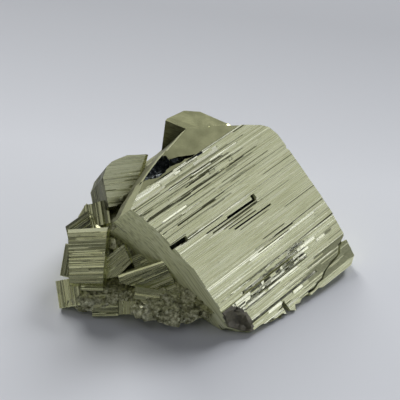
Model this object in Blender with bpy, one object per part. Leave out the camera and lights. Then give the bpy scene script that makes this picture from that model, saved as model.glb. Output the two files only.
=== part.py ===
"""A cluster of pyrite: one large striated crystal, a second one behind it, small striated
crystals down its left side, and the granular pyrite that they grow from. It is one solid that
rests on a flat cut."""

import math
import random
from collections import namedtuple

import bmesh
import bpy
from mathutils import Euler, Matrix, Vector

# Every size below is in millimetres, and MM turns it into Blender's metres.
MM = 0.001
SEED = 17
# The middle of the whole cluster's box, which becomes the origin.
BOX_MIDDLE = (1.2, 2.1)

# Each crystal has three axes: "along" the striations of its main face, "across" them, and
# "out" of that face.
MAIN_PLACE = (4.7, -30.9, 8.1)
MAIN_TURN = (40.4, -4.8, 44.6)
MAIN_DEPTH = 31.0

# The growth layers of the large crystal's left face: the level where each starts, and how far
# left it stands.
MAIN_LAYERS = ((1.0, 0.0), (-5.0, 0.4), (-12.0, 0.9), (-20.0, 1.5), (-26.0, 0.6))
LEFT_SIDE_WITHIN = 1.0

# The large face's treads, from its lower edge up: where each ends, and its level at its start
# and its end.
MAIN_TREADS = (
    (-9.0, -1.5, -1.3), (-4.2, -0.95, -0.8), (-0.8, -0.55, -0.45), (0.3, -1.05, -1.0),
    (2.1, -0.25, -0.3), (6.6, -0.5, -0.3), (7.1, -0.6, -0.6), (13.0, 0.0, 0.15),
    (17.8, -0.2, -0.15), (24.0, 0.25, 0.25), (28.0, 0.0, 0.05), (31.6, -0.25, -0.2),
    (34.3, -0.45, -0.4), (36.8, -0.75, -0.7),
)
MAIN_LOWEST = -13.5
SHOULDER_START = 37.2
SHOULDER_SLOPE = 0.5
BEYOND_SHOULDER = 50.0

# Outline of the large crystal across its main face, from its lower left corner round.
MAIN_OUTLINE = (
    (0.0, -4.8), (2.2, -7.6), (4.3, -9.6), (11.6, -10.4), (17.2, -12.0), (17.9, -13.0),
    (19.2, -12.2), (24.8, -11.4), (26.0, -12.2), (34.2, -12.5), (42.2, -12.6), (45.0, -11.0),
    (45.7, -5.8), (46.4, 1.0), (46.4, 29.0), (45.4, 32.2), (43.6, 33.9), (38.4, 37.0),
    (38.2, 36.8), (31.0, 41.7), (30.8, 41.5), (25.2, 44.6), (15.6, 42.3), (15.4, 42.6),
    (4.6, 39.1), (4.4, 39.4), (-4.6, 34.8), (-3.4, 31.0), (-2.0, 25.0), (-1.3, 20.5), (0.0, 13.0),
)

# Slots in the main face: the two ends, each as along and across, then width and depth.
SLOTS = (
    ((-3.0, 20.6), (4.0, 20.3), 1.5, 1.3),
    ((11.0, 18.3), (27.7, 17.9), 0.7, 1.0),
    ((16.0, 14.7), (31.0, 14.6), 0.5, 0.5),
    ((18.6, 7.0), (34.0, 6.8), 0.7, 0.6),
    ((28.0, 1.8), (46.8, 2.2), 0.45, 0.45),
)
SLOT_TAPER = 0.4
ABOVE_FACE = 2.0
CRACK = (
    (47.0, -5.4), (42.5, -6.2), (39.0, -8.6), (33.5, -9.2), (29.8, -10.8), (25.6, -11.0),
    (24.4, -13.5),
)
CRACK_WIDTH = 0.5
CRACK_DEPTH = 4.0

# The large crystal's other breaks, in its own axes: the hollow at its lower left corner, the
# pit between its striated face and its shoulder, and the stairs at the upper end of its left
# side.
HOLLOW_CENTRE = (1.2, -6.6, 2.2)
HOLLOW_RADII = (5.4, 6.4, 4.6)
HOLLOW_FACETS = 2
PIT_FLOOR = ((-8.0, 39.9, -7.0), (-8.0, 50.0, -3.6), (22.5, 36.0, -2.2))
PIT_TOP = 4.0
STAIRS = (
    ((-8.0, 33.2, -34.0), (4.0, 50.0, -12.6)),
    ((-8.0, 29.5, -34.0), (6.0, 50.0, -19.6)),
)


def block(along, across):
    """The corners of a plain rectangular face."""
    return (
        (-along / 2, -across / 2), (along / 2, -across / 2),
        (along / 2, across / 2), (-along / 2, across / 2),
    )


# Each smaller crystal: a point on its main face, its turn in degrees, the face's corners as
# along and across, its depth, how far in the leaning faces start on each side of the outline,
# and how many treads its face has.
Crystal = namedtuple("Crystal", "name place turn corners depth trims treads")
BACK_FACE = ((-9.2, -1.8), (9.0, -3.5), (7.7, 6.5), (-2.7, 8.0), (-6.3, 6.3), (-9.2, -0.6))
BACK_TRIMS = (0, 1.5, 0.7, 0.8, 0, 0)
UPPER_LEFT_FACE = (
    (-5.7, -6.7), (1.6, -6.4), (8.4, 3.9), (10.3, 7.4),
    (3.7, 7.8), (-1.0, 6.5), (-3.1, 5.2), (-5.1, 2.1),
)
UPPER_LEFT_TRIMS = (0, 1.3, 0, 0, 0, 0, 0, 0)
LEFT_BLOCK_FACE = ((-4.4, -5.6), (4.6, -5.9), (5.6, 9.6), (-5.5, 9.4))
DARK_UPPER_FACE = ((-5.9, -1.1), (-1.4, -3.6), (3.9, -3.2), (5.6, 1.9), (-3.3, 2.6))
DARK_LOWER_FACE = ((-7.5, 1.5), (-0.9, -3.7), (6.0, -7.6), (5.6, 2.3), (-7.2, 3.4))
CRYSTALS = (
    Crystal("back", (-1.5, 16.0, 33.2), (-2.0, 7.0, -22.0),
            BACK_FACE, 30.0, BACK_TRIMS, 4),
    Crystal("upper left", (-22.5, 3.8, 23.2), (34.0, 11.0, 26.0),
            UPPER_LEFT_FACE, 12.0, UPPER_LEFT_TRIMS, 8),
    Crystal("left block", (-31.3, -18.1, 13.1), (35.0, -7.0, -5.0),
            LEFT_BLOCK_FACE, 12.0, (0, 0.4, 4.4, 0.4), 9),
    Crystal("dark upper", (-24.3, -16.7, 11.6), (42.0, -34.0, 24.0),
            DARK_UPPER_FACE, 9.0, (0, 0, 0.6, 0, 0), 5),
    Crystal("dark lower", (-14.8, -20.5, 10.0), (56.0, -18.0, 15.0),
            DARK_LOWER_FACE, 10.0, (0, 0, 0, 0.8, 0), 6),
    Crystal("chip", (-16.9, -14.6, 11.1), (33.0, -11.0, 26.0),
            block(5.0, 3.5), 6.0, (0, 0.3, 0.3, 0), 2),
    Crystal("low left", (-36.4, -20.9, 4.6), (-30.0, -45.0, 103.0),
            block(7.5, 6.8), 9.0, (0.6, 0.4, 0, 0.5), 5),
    Crystal("behind left", (-36.0, -11.3, 7.2), (-25.0, -51.0, 74.0),
            block(9.0, 8.0), 9.0, (0, 0.6, 0.6, 0.6), 4),
    Crystal("upper step", (-29.8, -21.3, 7.4), (46.0, 1.0, -1.0),
            block(6.0, 2.5), 7.0, (0, 0, 0.3, 0), 2),
    Crystal("middle step", (-26.8, -24.1, 4.6), (43.0, 0.0, 5.0),
            block(5.5, 3.5), 7.0, (0, 0.3, 0.3, 0), 3),
    Crystal("lower step", (-26.3, -25.7, 2.5), (64.0, -2.0, 1.0),
            block(7.0, 3.0), 8.0, (0, 0, 0.4, 0), 2),
    Crystal("front step", (-20.1, -26.3, 4.2), (3.0, -49.0, 93.0),
            block(3.5, 5.0), 8.0, (0.3, 0, 0.3, 0), 3),
    Crystal("under left", (-29.2, -3.2, 17.5), (-23.0, -30.0, 101.0),
            block(7.0, 7.0), 10.0, (0.4, 0.8, 0, 0.5), 3),
    Crystal("left shoulder", (-34.2, -6.6, 15.9), (2.0, -35.0, 12.0),
            block(8.0, 7.0), 10.0, (0, 0.8, 1.0, 0.6), 2),
    Crystal("small olive", (-31.6, -2.3, 17.1), (5.0, -30.0, 56.0),
            block(4.5, 4.5), 8.0, (0.4, 0, 0.4, 0), 2),
    Crystal("rear left", (-17.0, 18.0, 19.0), (-38.0, -22.0, 30.0),
            block(13.0, 11.0), 15.0, (1.2, 0.8, 1.6, 0.6), 5),
    Crystal("rear low", (-6.0, 32.0, 11.0), (-62.0, 8.0, 14.0),
            block(14.0, 10.0), 16.0, (0.8, 1.2, 1.8, 0.6), 5),
    Crystal("rear right", (12.0, 33.0, 6.5), (-55.0, 20.0, -18.0),
            block(9.0, 8.0), 12.0, (0.9, 0.7, 0.6, 0), 4),
    Crystal("rear corner", (-25.0, 18.0, 8.0), (-50.0, -36.0, 60.0),
            block(10.0, 9.0), 13.0, (1.0, 1.0, 0.5, 0), 4),
    Crystal("right foot", (30.0, -2.0, 2.5), (52.0, 24.0, 38.0),
            block(9.0, 6.0), 9.0, (0, 0.6, 0.8, 0.5), 3),
)
FACE_RISE = 0.35
SIDE_RISE = 0.25
SIDE_TREAD = 2.5
SHORTEST_STRIATED_SIDE = 5.0
TREAD_JITTER = 0.32
RISER = 0.05
LAYER_SLOPE = 0.12
# A leaning side face rises this many times as far as it runs in.
SIDE_LEAN = 2.0
# How far a cutting bar reaches past what it cuts.
MARGIN = 2.0

# The lumps of granular pyrite: centre, radii, how finely each is faceted, and the headings
# that its grains face.
Lump = namedtuple("Lump", "centre radii facets headings grains")
LUMPS = (
    Lump((-25.0, -16.0, 1.0), (13.5, 10.0, 7.0), 3, (-170, -30), 14),
    Lump((-8.0, -20.0, 0.5), (15.0, 10.5, 6.3), 3, (-165, -20), 18),
    Lump((-33.0, -20.5, 0.0), (6.5, 6.5, 3.8), 2, (-200, -60), 4),
    Lump((-26.0, -3.0, 5.0), (11.0, 14.0, 12.0), 2, (100, 260), 6),
    Lump((-12.0, 10.0, 6.0), (20.0, 18.0, 14.0), 2, (60, 190), 8),
    Lump((6.0, 22.0, 3.0), (20.0, 13.0, 9.0), 2, (0, 130), 8),
    Lump((22.0, -4.0, 0.0), (16.0, 10.0, 5.0), 2, (-80, 60), 8),
)
LUMP_ROUGHNESS = 0.09
GRAIN_SIZES = (1.3, 3.0)
# The smallest and largest length of a grain along its second and third axes, against its first.
GRAIN_STRETCH = ((0.7, 1.1), (0.6, 1.0))
GRAIN_LIFT = (0.0, 0.75)
GRAIN_SINK = 0.92
RIGHT_ANGLE = 90.0

PYRITE_COLOUR = (0.40, 0.41, 0.24, 1.0)
PYRITE_ROUGHNESS = 0.3


def clear_scene():
    for leftover in list(bpy.data.objects):
        bpy.data.objects.remove(leftover, do_unlink=True)


def frame_of(place, turn):
    """The matrix that takes a crystal's own millimetres to its place in the cluster."""
    spin = Euler([math.radians(angle) for angle in turn], "XYZ").to_matrix().to_4x4()
    return Matrix.Translation(Vector(place)) @ spin


def as_object(name, shape):
    """Turns a bmesh into an object, with its faces pointing out."""
    bmesh.ops.recalc_face_normals(shape, faces=shape.faces)
    mesh = bpy.data.meshes.new(name)
    shape.to_mesh(mesh)
    shape.free()
    made = bpy.data.objects.new(name, mesh)
    bpy.context.scene.collection.objects.link(made)
    return made


def stacked_rings(rings):
    """A closed solid through rings of points, each ring holding the same number."""
    shape = bmesh.new()
    rows = [[shape.verts.new(point) for point in ring] for ring in rings]
    count = len(rows[0])
    for lower, upper in zip(rows, rows[1:]):
        for i in range(count):
            j = (i + 1) % count
            shape.faces.new((lower[i], lower[j], upper[j], upper[i]))
    shape.faces.new(rows[0])
    shape.faces.new(rows[-1])
    return shape


def hull_of(points):
    shape = bmesh.new()
    for point in points:
        shape.verts.new(point)
    bmesh.ops.convex_hull(shape, input=shape.verts)
    return shape


def ball(centre, radii, facets):
    shape = bmesh.new()
    bmesh.ops.create_icosphere(shape, subdivisions=facets, radius=1.0)
    shape.transform(Matrix.Translation(Vector(centre)) @ Matrix.Diagonal((*radii, 1)))
    return shape


def cut_away(shape, point, outward):
    """Takes off all that lies beyond the plane through a point, and closes the cut."""
    everything = shape.verts[:] + shape.edges[:] + shape.faces[:]
    bmesh.ops.bisect_plane(
        shape, geom=everything, plane_co=point, plane_no=outward, clear_outer=True
    )
    rim = [edge for edge in shape.edges if edge.is_boundary]
    bmesh.ops.holes_fill(shape, edges=rim, sides=0)


def combine(target, tool, operation):
    """Joins, cuts or intersects two solids, and keeps only the result."""
    step = target.modifiers.new(operation.lower(), "BOOLEAN")
    step.operation = operation
    step.solver = "EXACT"
    step.object = tool
    graph = bpy.context.evaluated_depsgraph_get()
    result = bpy.data.meshes.new_from_object(target.evaluated_get(graph))
    target.modifiers.clear()
    target.data = result
    bpy.data.objects.remove(tool, do_unlink=True)


def tread_line(start, end, treads, rise, dice):
    """Places and heights along a striated face: flat treads at uneven heights, short risers."""
    spacing = (end - start) / treads
    points = [(start, dice.uniform(-rise, 0))]
    for i in range(1, treads):
        place = start + spacing * (i + dice.uniform(-TREAD_JITTER, TREAD_JITTER))
        points.append((place - RISER, points[-1][1]))
        points.append((place + RISER, dice.uniform(-rise, 0)))
    points.append((end, points[-1][1]))
    return points


def striated_bar(profile, depth, start, end):
    """A bar that runs along a crystal's striations, whose upper side follows the profile."""
    low = profile[0][0]
    high = profile[-1][0]
    section = [(low, -depth), (high, -depth), *reversed(profile)]
    return stacked_rings([[(along, across, out) for across, out in section] for along in (start, end)])


def grown_all_round(outline, growth):
    """The outline with each point moved away from its middle."""
    middle = sum((Vector(point) for point in outline), Vector((0, 0))) / len(outline)
    return [Vector(point) + (Vector(point) - middle).normalized() * growth for point in outline]


def grown_to_the_left(outline, growth):
    """The outline with only its left side moved."""
    return [(along - growth * (along < LEFT_SIDE_WITHIN), across) for along, across in outline]


def layered_body(outline, layers, depth, grown):
    """An outline drawn down in layers, each standing a little in or out of the one above."""
    rings = []
    last_growth = None
    for level, growth in layers:
        if rings:
            rings.append([(*point, level) for point in grown(outline, last_growth)])
            level -= LAYER_SLOPE
        rings.append([(*point, level) for point in grown(outline, growth)])
        last_growth = growth
    rings.append([(along, across, -depth) for along, across, _ in rings[-1]])
    return stacked_rings(rings)


def striated_outline(corners, dice):
    """The corners with small treads between them, which stripe the crystal's sides."""
    points = []
    for corner, following in zip(corners, corners[1:] + corners[:1]):
        start = Vector(corner)
        run = Vector(following) - start
        ahead = run.normalized()
        outward = Vector((ahead.y, -ahead.x))
        points.append(start)
        if run.length < SHORTEST_STRIATED_SIDE:
            continue
        treads = tread_line(0.0, run.length, int(run.length / SIDE_TREAD), SIDE_RISE, dice)
        points += [start + ahead * place + outward * height for place, height in treads[1:-1]]
    return points


def lean_sides(shape, corners, trims):
    """Bevels the sides with the leaning faces that pyrite grows."""
    for corner, following, trim in zip(corners, corners[1:] + corners[:1], trims):
        if not trim:
            continue
        run = (Vector(following) - Vector(corner)).normalized()
        aside = Vector((run.y, -run.x))
        start = Vector(corner) - aside * trim
        cut_away(shape, Vector((*start, 0)), Vector((*aside, SIDE_LEAN)).normalized())


def smaller_crystal(crystal, dice):
    """A block with striations along its main face, and others crosswise on its sides."""
    side = tread_line(0.0, crystal.depth, crystal.treads, SIDE_RISE, dice)
    layers = [(MARGIN, 0.0)] + [(-down, height) for down, height in side[2::2]]
    outline = striated_outline(crystal.corners, dice)
    block_shape = layered_body(outline, layers, crystal.depth + MARGIN, grown_all_round)
    body = as_object(crystal.name, block_shape)
    reach = max(Vector(corner).length for corner in crystal.corners) + MARGIN
    profile = tread_line(-reach, reach, crystal.treads, FACE_RISE, dice)
    bar = striated_bar(profile, crystal.depth, -reach, reach)
    combine(body, as_object("bar", bar), "INTERSECT")
    shape = bmesh.new()
    shape.from_mesh(body.data)
    bpy.data.objects.remove(body, do_unlink=True)
    lean_sides(shape, crystal.corners, crystal.trims)
    shape.transform(frame_of(crystal.place, crystal.turn))
    return as_object(crystal.name, shape)


def slot_cutter(start, end, width, depth):
    """A narrow wedge that opens a slot between two points of the main face."""
    run = (Vector(end) - Vector(start)).normalized()
    aside = Vector((-run.y, run.x)) * (width / 2)
    points = []
    for place in (Vector(start), Vector(end)):
        points += [(*(place + aside), ABOVE_FACE), (*(place - aside), ABOVE_FACE)]
        points += [(*(place + aside), -depth), (*(place - aside * SLOT_TAPER), -depth)]
    return hull_of(points)


def crack_cutters():
    """The jagged crack across the lower right corner, as overlapping stretches."""
    for start, end in zip(CRACK, CRACK[1:]):
        overlap = (Vector(end) - Vector(start)).normalized() * (CRACK_WIDTH / 2)
        yield slot_cutter(Vector(start) - overlap, Vector(end) + overlap, CRACK_WIDTH, CRACK_DEPTH)


def stair_cutter(low, high):
    corners = [(x, y, z) for x in (low[0], high[0]) for y in (low[1], high[1]) for z in (low[2], high[2])]
    return hull_of(corners)


def pit_cutter():
    return hull_of([*PIT_FLOOR, *((along, across, PIT_TOP) for along, across, _ in PIT_FLOOR)])


def main_profile():
    """The large face seen end on: its treads, then the smooth shoulder that leans back."""
    points = []
    start = MAIN_LOWEST
    for end, level_start, level_end in MAIN_TREADS:
        points += [(start + RISER, level_start), (end - RISER, level_end)]
        start = end
    shoulder_level = points[-1][1]
    points.append((SHOULDER_START, shoulder_level))
    fall = SHOULDER_SLOPE * (BEYOND_SHOULDER - SHOULDER_START)
    points.append((BEYOND_SHOULDER, shoulder_level - fall))
    return points


def large_crystal():
    """The main crystal: layered left side, striated face, smooth shoulder and its breaks."""
    drawn = layered_body(MAIN_OUTLINE, MAIN_LAYERS, MAIN_DEPTH, grown_to_the_left)
    body = as_object("large crystal", drawn)
    widest = max(growth for _, growth in MAIN_LAYERS)
    start = min(along for along, _ in MAIN_OUTLINE) - widest - MARGIN
    end = max(along for along, _ in MAIN_OUTLINE) + MARGIN
    bar = striated_bar(main_profile(), MAIN_DEPTH + MARGIN, start, end)
    combine(body, as_object("bar", bar), "INTERSECT")
    cutters = [slot_cutter(*slot) for slot in SLOTS]
    cutters += crack_cutters()
    cutters += [ball(HOLLOW_CENTRE, HOLLOW_RADII, HOLLOW_FACETS), pit_cutter()]
    cutters += [stair_cutter(low, high) for low, high in STAIRS]
    for cutter in cutters:
        combine(body, as_object("cutter", cutter), "DIFFERENCE")
    body.data.transform(frame_of(MAIN_PLACE, MAIN_TURN))
    return body


def granular_lump(lump, dice):
    """A rough ball of fine-grained pyrite."""
    shape = ball((0, 0, 0), (1, 1, 1), lump.facets)
    for vert in shape.verts:
        vert.co *= 1 + dice.uniform(-LUMP_ROUGHNESS, LUMP_ROUGHNESS)
    shape.transform(Matrix.Translation(Vector(lump.centre)) @ Matrix.Diagonal((*lump.radii, 1)))
    return as_object("lump", shape)


def grain(lump, dice):
    """A small cube that stands out of a lump."""
    heading = math.radians(dice.uniform(*lump.headings))
    lift = dice.uniform(*GRAIN_LIFT)
    level = math.sqrt(1 - lift * lift)
    spot = (math.cos(heading) * level, math.sin(heading) * level, lift)
    place = [
        middle + GRAIN_SINK * radius * part
        for middle, radius, part in zip(lump.centre, lump.radii, spot)
    ]
    turn = [dice.uniform(0, RIGHT_ANGLE) for _ in range(3)]
    stretch = Matrix.Diagonal((1.0, *(dice.uniform(*limits) for limits in GRAIN_STRETCH), 1.0))
    cube = bmesh.new()
    bmesh.ops.create_cube(cube, size=dice.uniform(*GRAIN_SIZES))
    cube.transform(frame_of(place, turn) @ stretch)
    return as_object("grain", cube)


def rest_flat(cluster):
    """Cuts the cluster off level, and moves the middle of its box to the origin."""
    shape = bmesh.new()
    shape.from_mesh(cluster.data)
    bpy.data.objects.remove(cluster, do_unlink=True)
    cut_away(shape, Vector((0, 0, 0)), Vector((0, 0, -1)))
    to_origin = Matrix.Translation((-BOX_MIDDLE[0], -BOX_MIDDLE[1], 0))
    shape.transform(Matrix.Scale(MM, 4) @ to_origin)
    return as_object("pyrite_cluster", shape)


def pyrite():
    """Pale brassy metal, as fresh pyrite is."""
    material = bpy.data.materials.new("pyrite")
    material.use_nodes = True
    surface = material.node_tree.nodes["Principled BSDF"]
    surface.inputs["Base Color"].default_value = PYRITE_COLOUR
    surface.inputs["Metallic"].default_value = 1.0
    surface.inputs["Roughness"].default_value = PYRITE_ROUGHNESS
    return material


def build():
    clear_scene()
    dice = random.Random(SEED)
    cluster = large_crystal()
    for crystal in CRYSTALS:
        combine(cluster, smaller_crystal(crystal, dice), "UNION")
    for lump in LUMPS:
        combine(cluster, granular_lump(lump, dice), "UNION")
    for lump in LUMPS:
        for _ in range(lump.grains):
            combine(cluster, grain(lump, dice), "UNION")
    specimen = rest_flat(cluster)
    specimen.data.materials.clear()
    specimen.data.materials.append(pyrite())


build()
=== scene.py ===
"""Looks of the pyrite specimen: finely striated crystals and a granular base, drawn around the
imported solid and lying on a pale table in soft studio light."""

import itertools
import math
import random
from collections import namedtuple

import bmesh
import bpy
from mathutils import Euler, Matrix, Vector, noise


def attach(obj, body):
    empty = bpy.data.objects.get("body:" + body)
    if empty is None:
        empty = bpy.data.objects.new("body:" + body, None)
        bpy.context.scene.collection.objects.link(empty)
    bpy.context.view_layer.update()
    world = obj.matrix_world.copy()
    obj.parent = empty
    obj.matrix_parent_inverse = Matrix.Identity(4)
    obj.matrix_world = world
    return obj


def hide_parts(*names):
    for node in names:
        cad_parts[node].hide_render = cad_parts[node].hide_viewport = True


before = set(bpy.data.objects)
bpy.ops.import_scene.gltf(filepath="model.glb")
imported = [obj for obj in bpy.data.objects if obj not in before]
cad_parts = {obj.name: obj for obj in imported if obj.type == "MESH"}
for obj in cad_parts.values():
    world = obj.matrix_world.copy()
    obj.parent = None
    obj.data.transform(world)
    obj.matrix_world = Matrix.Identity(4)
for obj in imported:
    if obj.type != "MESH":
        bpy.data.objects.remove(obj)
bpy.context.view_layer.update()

# Shape sizes are in millimetres, and MM turns them into Blender's metres.
MM = 0.001
# All chance comes from one seed, so that each run gives the same specimen.
SEED = 29
# The middle of the cluster's box, which is the part's origin, in the places below.
BOX_MIDDLE = (1.2, 2.1)
# The mesh attribute that holds each point's millimetres on its own crystal.
OWN_PLACE = "own_place"

# The camera stands 300 mm from a point inside the specimen and looks down at 38 degrees. It
# sees nothing that is nearer than NEAREST_SEEN.
CAMERA_TARGET = (-2.2, -6.1, 23.0)
CAMERA_DISTANCE = 300.0
CAMERA_ELEVATION = 38.0
LENS = 100.0
NEAREST_SEEN = 10.0

# Each crystal has three axes: "along" the striations of its main face, "across" them, and
# "out" of that face. The large crystal's axes start at MAIN_PLACE, turned by MAIN_TURN degrees.
# Its body goes MAIN_DEPTH down from its face, and is drawn MAIN_HEADROOM too high before the
# face's relief cuts it.
MAIN_PLACE = (4.7, -30.9, 8.09)
MAIN_TURN = (40.4, -4.8, 44.6)
MAIN_DEPTH = 31.0
MAIN_HEADROOM = 1.0

# How far left the large crystal's left side stands, by level. The outline's points up to
# LEFT_SIDE_WITHIN along are on that side.
MAIN_GROWTH = ((-33.0, 0.5), (-27.0, 0.6), (-20.0, 1.4), (-12.0, 0.8), (-5.0, 0.3), (1.5, 0.0))
LEFT_SIDE_WITHIN = 1.0

# The large face's treads, from its lower edge up: where each ends, and its level at its start
# and its end. The left part has more of them, and the two parts blend where they meet.
LEFT_TREADS = (
    (-9.0, -1.5, -1.3), (-6.6, -1.1, -0.88), (-4.2, -0.9, -0.85), (-2.9, -0.75, -0.6),
    (-0.8, -0.6, -0.45), (0.3, -1.05, -1.0), (2.1, -0.3, -0.3), (3.1, -0.55, -0.5),
    (6.5, -0.55, -0.3), (7.1, -0.65, -0.65), (9.4, -0.1, -0.1), (13.0, -0.05, 0.12),
    (15.2, -0.1, -0.16), (17.8, -0.28, -0.15), (20.4, 0.05, 0.25), (24.0, 0.2, 0.22),
    (26.1, 0.02, 0.0), (28.0, -0.05, 0.05), (31.6, -0.25, -0.2), (34.3, -0.45, -0.4),
    (36.8, -0.75, -0.7),
)
RIGHT_TREADS = (
    (-9.0, -1.5, -1.35), (-4.4, -1.2, -1.12), (1.9, -0.95, -0.78), (7.0, -0.45, -0.3),
    (20.4, -0.1, 0.08), (36.8, 0.05, -0.7),
)
TREADS_MEET = (25.0, 31.0)
# Across the large face: where its relief starts, where the smooth shoulder starts, how much
# the shoulder falls for each millimetre, and a place beyond its end.
MAIN_LOWEST = -13.5
SHOULDER_START = 37.2
SHOULDER_SLOPE = 0.5
BEYOND_SHOULDER = 50.0

# Outline of the large crystal across its main face, from its lower left corner round.
MAIN_OUTLINE = (
    (0.0, -4.8), (2.2, -7.6), (4.3, -9.6), (8.0, -9.7), (9.1, -10.3), (11.6, -10.2),
    (12.4, -10.9), (14.9, -10.9), (15.9, -11.8), (16.2, -8.9), (17.3, -8.4), (17.6, -11.7),
    (18.9, -12.6), (19.8, -11.2), (21.4, -11.7), (22.7, -11.1), (24.8, -11.2), (26.0, -12.1),
    (29.0, -11.8), (30.2, -12.4), (34.2, -12.5), (42.2, -12.6), (45.0, -11.0), (45.7, -5.8),
    (46.4, 1.0), (46.4, 23.6), (45.9, 24.6), (46.4, 25.2), (46.4, 29.0), (45.4, 32.2),
    (43.6, 33.9), (38.4, 37.0),
    (38.2, 36.8), (31.0, 41.7), (30.8, 41.5), (25.2, 44.6), (15.6, 42.3), (15.4, 42.6),
    (4.6, 39.1), (4.4, 39.4), (-4.6, 34.8), (-3.4, 31.0), (-2.0, 25.0), (-1.3, 20.5), (0.0, 13.0),
)

# Slots in the main face: the two ends, each as along and across, then width and depth.
SLOTS = (
    ((-3.0, 20.6), (3.6, 20.4), 1.2, 1.5),
    ((9.0, 18.2), (27.9, 17.9), 0.35, 0.8),
    ((17.0, 18.3), (28.0, 18.1), 0.7, 1.3),
    ((26.8, 18.9), (28.3, 18.9), 1.4, 1.3),
    ((15.5, 15.7), (26.0, 15.5), 0.3, 0.5),
    ((17.0, 14.7), (31.0, 14.5), 0.45, 0.7),
    ((18.6, 7.0), (33.5, 6.8), 0.5, 0.7),
    ((22.5, 8.1), (31.0, 8.0), 0.25, 0.4),
    ((33.0, 7.0), (46.9, 7.2), 0.25, 0.4),
    ((28.0, 1.8), (46.9, 2.2), 0.45, 0.6),
    ((6.5, 34.7), (19.0, 34.7), 0.35, 0.65),
    ((5.0, 35.7), (21.5, 35.6), 0.3, 0.65),
    ((8.0, 33.5), (16.5, 33.5), 0.3, 0.6),
    ((7.5, 36.5), (22.5, 36.3), 0.3, 0.65),
    ((12.0, 31.3), (19.5, 31.3), 0.25, 0.6),
)
# A slot's floor rises by this share of its width, so that it faces down, and its cutter starts
# above the face.
SLOT_LEAN = 0.38
ABOVE_FACE = 2.0
# The crack across the lower right corner: points along and across, and its width from each.
CRACK = (
    (47.0, -4.9, 1.2), (44.6, -5.9, 0.8), (42.5, -6.2, 0.6), (40.9, -7.9, 0.45), (39.0, -8.4, 0.5),
    (36.2, -8.7, 0.4), (33.5, -9.4, 0.5), (31.6, -10.5, 0.4), (29.8, -10.6, 0.5), (27.6, -11.2, 0.6),
    (25.6, -11.0, 0.5), (24.4, -13.5, 0.5),
)
CRACK_DEPTH = 4.0

# The large crystal's other breaks, in its own axes. The hollow at its lower left corner and the
# end of its pit are rough balls: centre, radii, how often the facets are split, how wide the
# ripples are, and how far they rise.
RoughBall = namedtuple("RoughBall", "centre radii splits ripple rise")
HOLLOW = RoughBall((1.2, -6.6, 2.2), (5.4, 6.4, 4.6), 4, 2.2, 0.7)
PIT_END = RoughBall((9.0, 40.7, -2.5), (5.4, 3.6, 3.0), 4, 1.1, 0.6)
# The pit between the striated face and the shoulder: its floor's corners, the height that it
# is cut from, how often its sides are split, how wide its ripples are, how far they rise, and
# the slope of its edge.
PIT_FLOOR = ((-8.0, 40.0, -7.0), (-8.0, 50.0, -3.6), (21.0, 37.2, -2.0))
PIT_TOP = 4.0
PIT_SPLITS = 5
PIT_RIPPLE = 1.1
PIT_RISE = 0.55
PIT_EDGE_SLOPE = -0.097
# Where the pit's painted black shade goes: between these places along, above this level, at least
# this far under the shoulder, and from this far before the pit's edge.
PIT_ALONG = (-6, 23)
PIT_LOWEST = -9
PIT_SUNK = 0.12
PIT_BEFORE_EDGE = 0.6
# How far a break's finish reaches from a rough ball's middle: the square of the distance in
# radii.
HOLLOW_REACH = 1.25
PIT_END_REACH = 1.5
# A break's facets are pushed out by one share of its rise, and tilted by the other.
BREAK_PUSH = 0.6
BREAK_TILT = 1.4
# The stairs at the upper end of the left side: the lowest and highest corner of each cut.
STAIRS = (
    ((-8.0, 33.2, -34.0), (4.0, 50.0, -12.6)),
    ((-8.0, 29.5, -34.0), (6.0, 50.0, -19.6)),
)

# Fine striations: how wide the narrow and the broad ones are, the share of narrow ones, how
# far apart the points along them stand, the shortest stretch that stays the same, half the
# width of the riser between two of them, and how far from a step none begins.
NARROW_STRIA = (0.14, 0.3)
BROAD_STRIA = (0.3, 0.85)
NARROW_SHARE = 0.7
ALONG_STEP = 0.5
STRETCH_SHORTEST = 1.0
RISER = 0.012
CLEAR_OF_STEP = RISER * 3
# How far apart points are added along a crystal's outline.
OUTLINE_STEP = 1.5

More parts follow.
